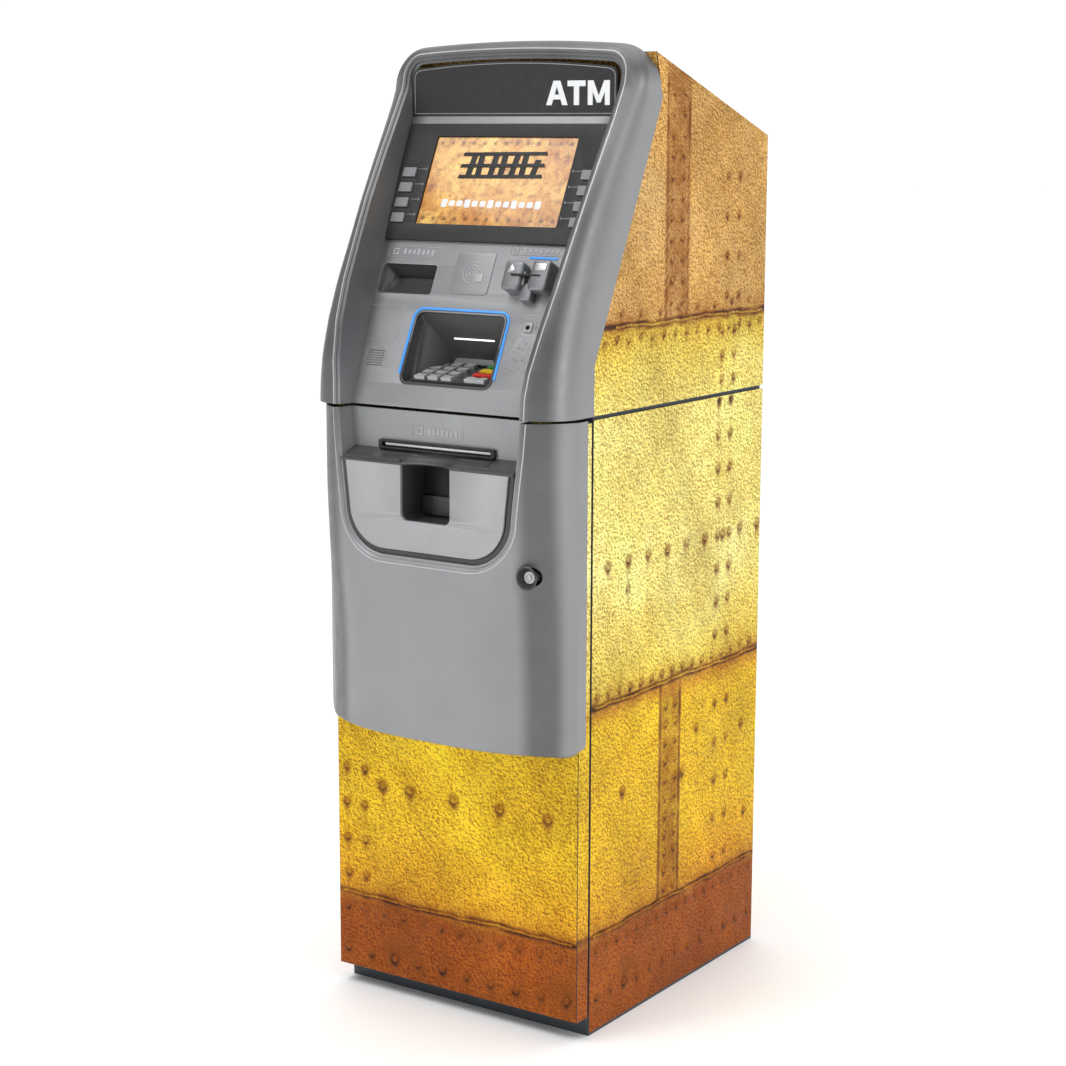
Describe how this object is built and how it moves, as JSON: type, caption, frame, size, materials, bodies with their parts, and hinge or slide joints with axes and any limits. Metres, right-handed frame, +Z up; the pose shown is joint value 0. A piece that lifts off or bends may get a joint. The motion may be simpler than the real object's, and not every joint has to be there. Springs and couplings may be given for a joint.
{
  "type": "cash machine",
  "caption": "Free-standing cash machine with a leaning display and keypad head over a bolted-down safe, swing-open fascias, note slot and pocket, card, receipt and contactless modules.",
  "frame": {"origin": "on the floor under the middle of the cabinet's footprint, at the centre of the four floor anchors", "axes": "+Z up, +Y to the back, +X to the user's right"},
  "size_m": [0.387, 0.5205, 1.24],
  "materials": {
    "cabinet_wrap": "satin printed vinyl over steel",
    "dark_steel": "satin",
    "bright_steel": "brushed",
    "zinc_steel": "satin zinc",
    "rubber": "matte",
    "cassette_plastic": "matte",
    "fascia_plastic": "satin silver-grey paint",
    "gloss_black": "gloss",
    "dark_plastic": "fine texture",
    "paper": "matte",
    "light_plastic": "satin",
    "module_silver": "satin silver",
    "chrome": "polished",
    "key_metal": "brushed",
    "key_red": "satin",
    "key_yellow": "satin",
    "key_green": "satin",
    "display": "lit panel",
    "blue_light": "lit strip"
  },
  "bodies": {
    "cabinet": {"safe_cabinet": "cabinet_wrap", "base_plinth": "dark_steel", "seam_collar": "dark_steel", "top_cabinet": "cabinet_wrap", "hinge_pins": "bright_steel", "dispenser_frame": "zinc_steel", "control_computer": "zinc_steel", "power_supply": "zinc_steel", "cable_grommet": "rubber"},
    "pick_rollers": {"pick_rollers": "rubber"},
    "presenter_rollers": {"presenter_rollers": "rubber"},
    "note_cassette": {"note_cassette": "cassette_plastic"},
    "upper_fascia": {"upper_fascia": "fascia_plastic", "sign_panel": "gloss_black", "screen_bezel": "gloss_black", "lcd_panel": "display", "receipt_chute": "dark_plastic", "receipt_printer": "dark_plastic", "contactless_reader": "light_plastic", "card_reader_bezel": "module_silver", "card_reader": "dark_plastic", "keypad_hood": "dark_plastic", "light_strips": "blue_light", "keypad_plate": "dark_plastic", "audio_jack": "dark_plastic", "speaker": "dark_plastic"},
    "paper_roll": {"paper_roll": "paper"},
    "front_door": {"front_panel": "cabinet_wrap", "lower_fascia": "fascia_plastic", "cash_shelf": "dark_plastic", "cash_pocket": "light_plastic"},
    "fascia_lock": {"lock_cylinder": "chrome"},
    "safe_door": {"safe_door": "dark_steel"},
    "locking_bolts": {"locking_bolts": "bright_steel"},
    "safe_handle": {"safe_handle": "chrome"},
    "combination_dial": {"combination_dial": "dark_plastic"},
    "function_key_left_1": {"function_key_left_1": "key_metal"},
    "function_key_left_2": {"function_key_left_2": "key_metal"},
    "function_key_left_3": {"function_key_left_3": "key_metal"},
    "function_key_left_4": {"function_key_left_4": "key_metal"},
    "function_key_right_1": {"function_key_right_1": "key_metal"},
    "function_key_right_2": {"function_key_right_2": "key_metal"},
    "function_key_right_3": {"function_key_right_3": "key_metal"},
    "function_key_right_4": {"function_key_right_4": "key_metal"},
    "keypad_key_11": {"keypad_key_11": "key_metal"},
    "keypad_key_12": {"keypad_key_12": "key_metal"},
    "keypad_key_13": {"keypad_key_13": "key_metal"},
    "keypad_key_14": {"keypad_key_14": "key_metal"},
    "keypad_key_21": {"keypad_key_21": "key_metal"},
    "keypad_key_22": {"keypad_key_22": "key_metal"},
    "keypad_key_23": {"keypad_key_23": "key_metal"},
    "keypad_key_24": {"keypad_key_24": "key_red"},
    "keypad_key_31": {"keypad_key_31": "key_metal"},
    "keypad_key_32": {"keypad_key_32": "key_metal"},
    "keypad_key_33": {"keypad_key_33": "key_metal"},
    "keypad_key_34": {"keypad_key_34": "key_yellow"},
    "keypad_key_41": {"keypad_key_41": "key_metal"},
    "keypad_key_42": {"keypad_key_42": "key_metal"},
    "keypad_key_43": {"keypad_key_43": "key_metal"},
    "keypad_key_44": {"keypad_key_44": "key_green"}
  },
  "joints": [
    {"name": "upper_fascia_hinge", "type": "hinge", "parent": "cabinet", "child": "upper_fascia", "pos_m": [-0.1855, -0.197, 0.92521], "axis": [0, -0.4305, -0.9026], "range_deg": [0, 95]},
    {"name": "front_door_hinge", "type": "hinge", "parent": "cabinet", "child": "front_door", "pos_m": [-0.184, -0.2285, 0.4], "axis": [0, 0, -1], "range_deg": [0, 95]},
    {"name": "safe_door_hinge", "type": "hinge", "parent": "cabinet", "child": "safe_door", "pos_m": [-0.184, -0.2285, 0.4], "axis": [0, 0, -1], "range_deg": [0, 80.75]},
    {"name": "note_cassette_slide", "type": "slide", "parent": "cabinet", "child": "note_cassette", "axis": [0, -1, 0], "range_m": [0, 0.15]},
    {"name": "pick_roller_spin", "type": "hinge", "parent": "cabinet", "child": "pick_rollers", "pos_m": [0, -0.0845, 0.687], "axis": [1, 0, 0], "continuous": true},
    {"name": "presenter_roller_spin", "type": "hinge", "parent": "cabinet", "child": "presenter_rollers", "pos_m": [0, -0.1505, 0.733], "axis": [1, 0, 0], "continuous": true},
    {"name": "paper_roll_spin", "type": "hinge", "parent": "upper_fascia", "child": "paper_roll", "pos_m": [-0.1, -0.12296, 0.91612], "axis": [1, 0, 0], "continuous": true},
    {"name": "fascia_lock_turn", "type": "hinge", "parent": "front_door", "child": "fascia_lock", "pos_m": [0.1505, -0.2545, 0.604], "axis": [0, -1, 0], "range_deg": [0, 90]},
    {"name": "locking_bolt_slide", "type": "slide", "parent": "safe_door", "child": "locking_bolts", "axis": [1, 0, 0], "range_m": [0, 0.018]},
    {"name": "safe_handle_turn", "type": "hinge", "parent": "safe_door", "child": "safe_handle", "pos_m": [0, -0.2145, 0.447], "axis": [0, -1, 0], "range_deg": [0, 90]},
    {"name": "combination_dial_turn", "type": "hinge", "parent": "safe_door", "child": "combination_dial", "pos_m": [0, -0.2145, 0.547], "axis": [0, -1, 0], "continuous": true},
    {"name": "function_key_left_1_press", "type": "slide", "parent": "upper_fascia", "child": "function_key_left_1", "axis": [0, 0.9063, -0.4226], "range_m": [0, 0.0015], "stiffness_N_per_m": 300, "springref_m": -0.0005},
    {"name": "function_key_left_2_press", "type": "slide", "parent": "upper_fascia", "child": "function_key_left_2", "axis": [0, 0.9063, -0.4226], "range_m": [0, 0.0015], "stiffness_N_per_m": 300, "springref_m": -0.0005},
    {"name": "function_key_left_3_press", "type": "slide", "parent": "upper_fascia", "child": "function_key_left_3", "axis": [0, 0.9063, -0.4226], "range_m": [0, 0.0015], "stiffness_N_per_m": 300, "springref_m": -0.0005},
    {"name": "function_key_left_4_press", "type": "slide", "parent": "upper_fascia", "child": "function_key_left_4", "axis": [0, 0.9063, -0.4226], "range_m": [0, 0.0015], "stiffness_N_per_m": 300, "springref_m": -0.0005},
    {"name": "function_key_right_1_press", "type": "slide", "parent": "upper_fascia", "child": "function_key_right_1", "axis": [0, 0.9063, -0.4226], "range_m": [0, 0.0015], "stiffness_N_per_m": 300, "springref_m": -0.0005},
    {"name": "function_key_right_2_press", "type": "slide", "parent": "upper_fascia", "child": "function_key_right_2", "axis": [0, 0.9063, -0.4226], "range_m": [0, 0.0015], "stiffness_N_per_m": 300, "springref_m": -0.0005},
    {"name": "function_key_right_3_press", "type": "slide", "parent": "upper_fascia", "child": "function_key_right_3", "axis": [0, 0.9063, -0.4226], "range_m": [0, 0.0015], "stiffness_N_per_m": 300, "springref_m": -0.0005},
    {"name": "function_key_right_4_press", "type": "slide", "parent": "upper_fascia", "child": "function_key_right_4", "axis": [0, 0.9063, -0.4226], "range_m": [0, 0.0015], "stiffness_N_per_m": 300, "springref_m": -0.0005},
    {"name": "keypad_key_11_press", "type": "slide", "parent": "upper_fascia", "child": "keypad_key_11", "axis": [0, 0.2079, -0.9781], "range_m": [0, 0.0015], "stiffness_N_per_m": 300, "springref_m": -0.0005},
    {"name": "keypad_key_12_press", "type": "slide", "parent": "upper_fascia", "child": "keypad_key_12", "axis": [0, 0.2079, -0.9781], "range_m": [0, 0.0015], "stiffness_N_per_m": 300, "springref_m": -0.0005},
    {"name": "keypad_key_13_press", "type": "slide", "parent": "upper_fascia", "child": "keypad_key_13", "axis": [0, 0.2079, -0.9781], "range_m": [0, 0.0015], "stiffness_N_per_m": 300, "springref_m": -0.0005},
    {"name": "keypad_key_14_press", "type": "slide", "parent": "upper_fascia", "child": "keypad_key_14", "axis": [0, 0.2079, -0.9781], "range_m": [0, 0.0015], "stiffness_N_per_m": 300, "springref_m": -0.0005},
    {"name": "keypad_key_21_press", "type": "slide", "parent": "upper_fascia", "child": "keypad_key_21", "axis": [0, 0.2079, -0.9781], "range_m": [0, 0.0015], "stiffness_N_per_m": 300, "springref_m": -0.0005},
    {"name": "keypad_key_22_press", "type": "slide", "parent": "upper_fascia", "child": "keypad_key_22", "axis": [0, 0.2079, -0.9781], "range_m": [0, 0.0015], "stiffness_N_per_m": 300, "springref_m": -0.0005},
    {"name": "keypad_key_23_press", "type": "slide", "parent": "upper_fascia", "child": "keypad_key_23", "axis": [0, 0.2079, -0.9781], "range_m": [0, 0.0015], "stiffness_N_per_m": 300, "springref_m": -0.0005},
    {"name": "keypad_key_24_press", "type": "slide", "parent": "upper_fascia", "child": "keypad_key_24", "axis": [0, 0.2079, -0.9781], "range_m": [0, 0.0015], "stiffness_N_per_m": 300, "springref_m": -0.0005},
    {"name": "keypad_key_31_press", "type": "slide", "parent": "upper_fascia", "child": "keypad_key_31", "axis": [0, 0.2079, -0.9781], "range_m": [0, 0.0015], "stiffness_N_per_m": 300, "springref_m": -0.0005},
    {"name": "keypad_key_32_press", "type": "slide", "parent": "upper_fascia", "child": "keypad_key_32", "axis": [0, 0.2079, -0.9781], "range_m": [0, 0.0015], "stiffness_N_per_m": 300, "springref_m": -0.0005},
    {"name": "keypad_key_33_press", "type": "slide", "parent": "upper_fascia", "child": "keypad_key_33", "axis": [0, 0.2079, -0.9781], "range_m": [0, 0.0015], "stiffness_N_per_m": 300, "springref_m": -0.0005},
    {"name": "keypad_key_34_press", "type": "slide", "parent": "upper_fascia", "child": "keypad_key_34", "axis": [0, 0.2079, -0.9781], "range_m": [0, 0.0015], "stiffness_N_per_m": 300, "springref_m": -0.0005},
    {"name": "keypad_key_41_press", "type": "slide", "parent": "upper_fascia", "child": "keypad_key_41", "axis": [0, 0.2079, -0.9781], "range_m": [0, 0.0015], "stiffness_N_per_m": 300, "springref_m": -0.0005},
    {"name": "keypad_key_42_press", "type": "slide", "parent": "upper_fascia", "child": "keypad_key_42", "axis": [0, 0.2079, -0.9781], "range_m": [0, 0.0015], "stiffness_N_per_m": 300, "springref_m": -0.0005},
    {"name": "keypad_key_43_press", "type": "slide", "parent": "upper_fascia", "child": "keypad_key_43", "axis": [0, 0.2079, -0.9781], "range_m": [0, 0.0015], "stiffness_N_per_m": 300, "springref_m": -0.0005},
    {"name": "keypad_key_44_press", "type": "slide", "parent": "upper_fascia", "child": "keypad_key_44", "axis": [0, 0.2079, -0.9781], "range_m": [0, 0.0015], "stiffness_N_per_m": 300, "springref_m": -0.0005}
  ],
  "couplings": [
    {"joint": "safe_door_hinge", "follows": "front_door_hinge", "ratio": 0.85},
    {"joint": "note_cassette_slide", "follows": "front_door_hinge", "m_per_rad": 0.09},
    {"joint": "presenter_roller_spin", "follows": "pick_roller_spin", "ratio": 1},
    {"joint": "safe_handle_turn", "follows": "locking_bolt_slide", "rad_per_m": 87.266}
  ]
}
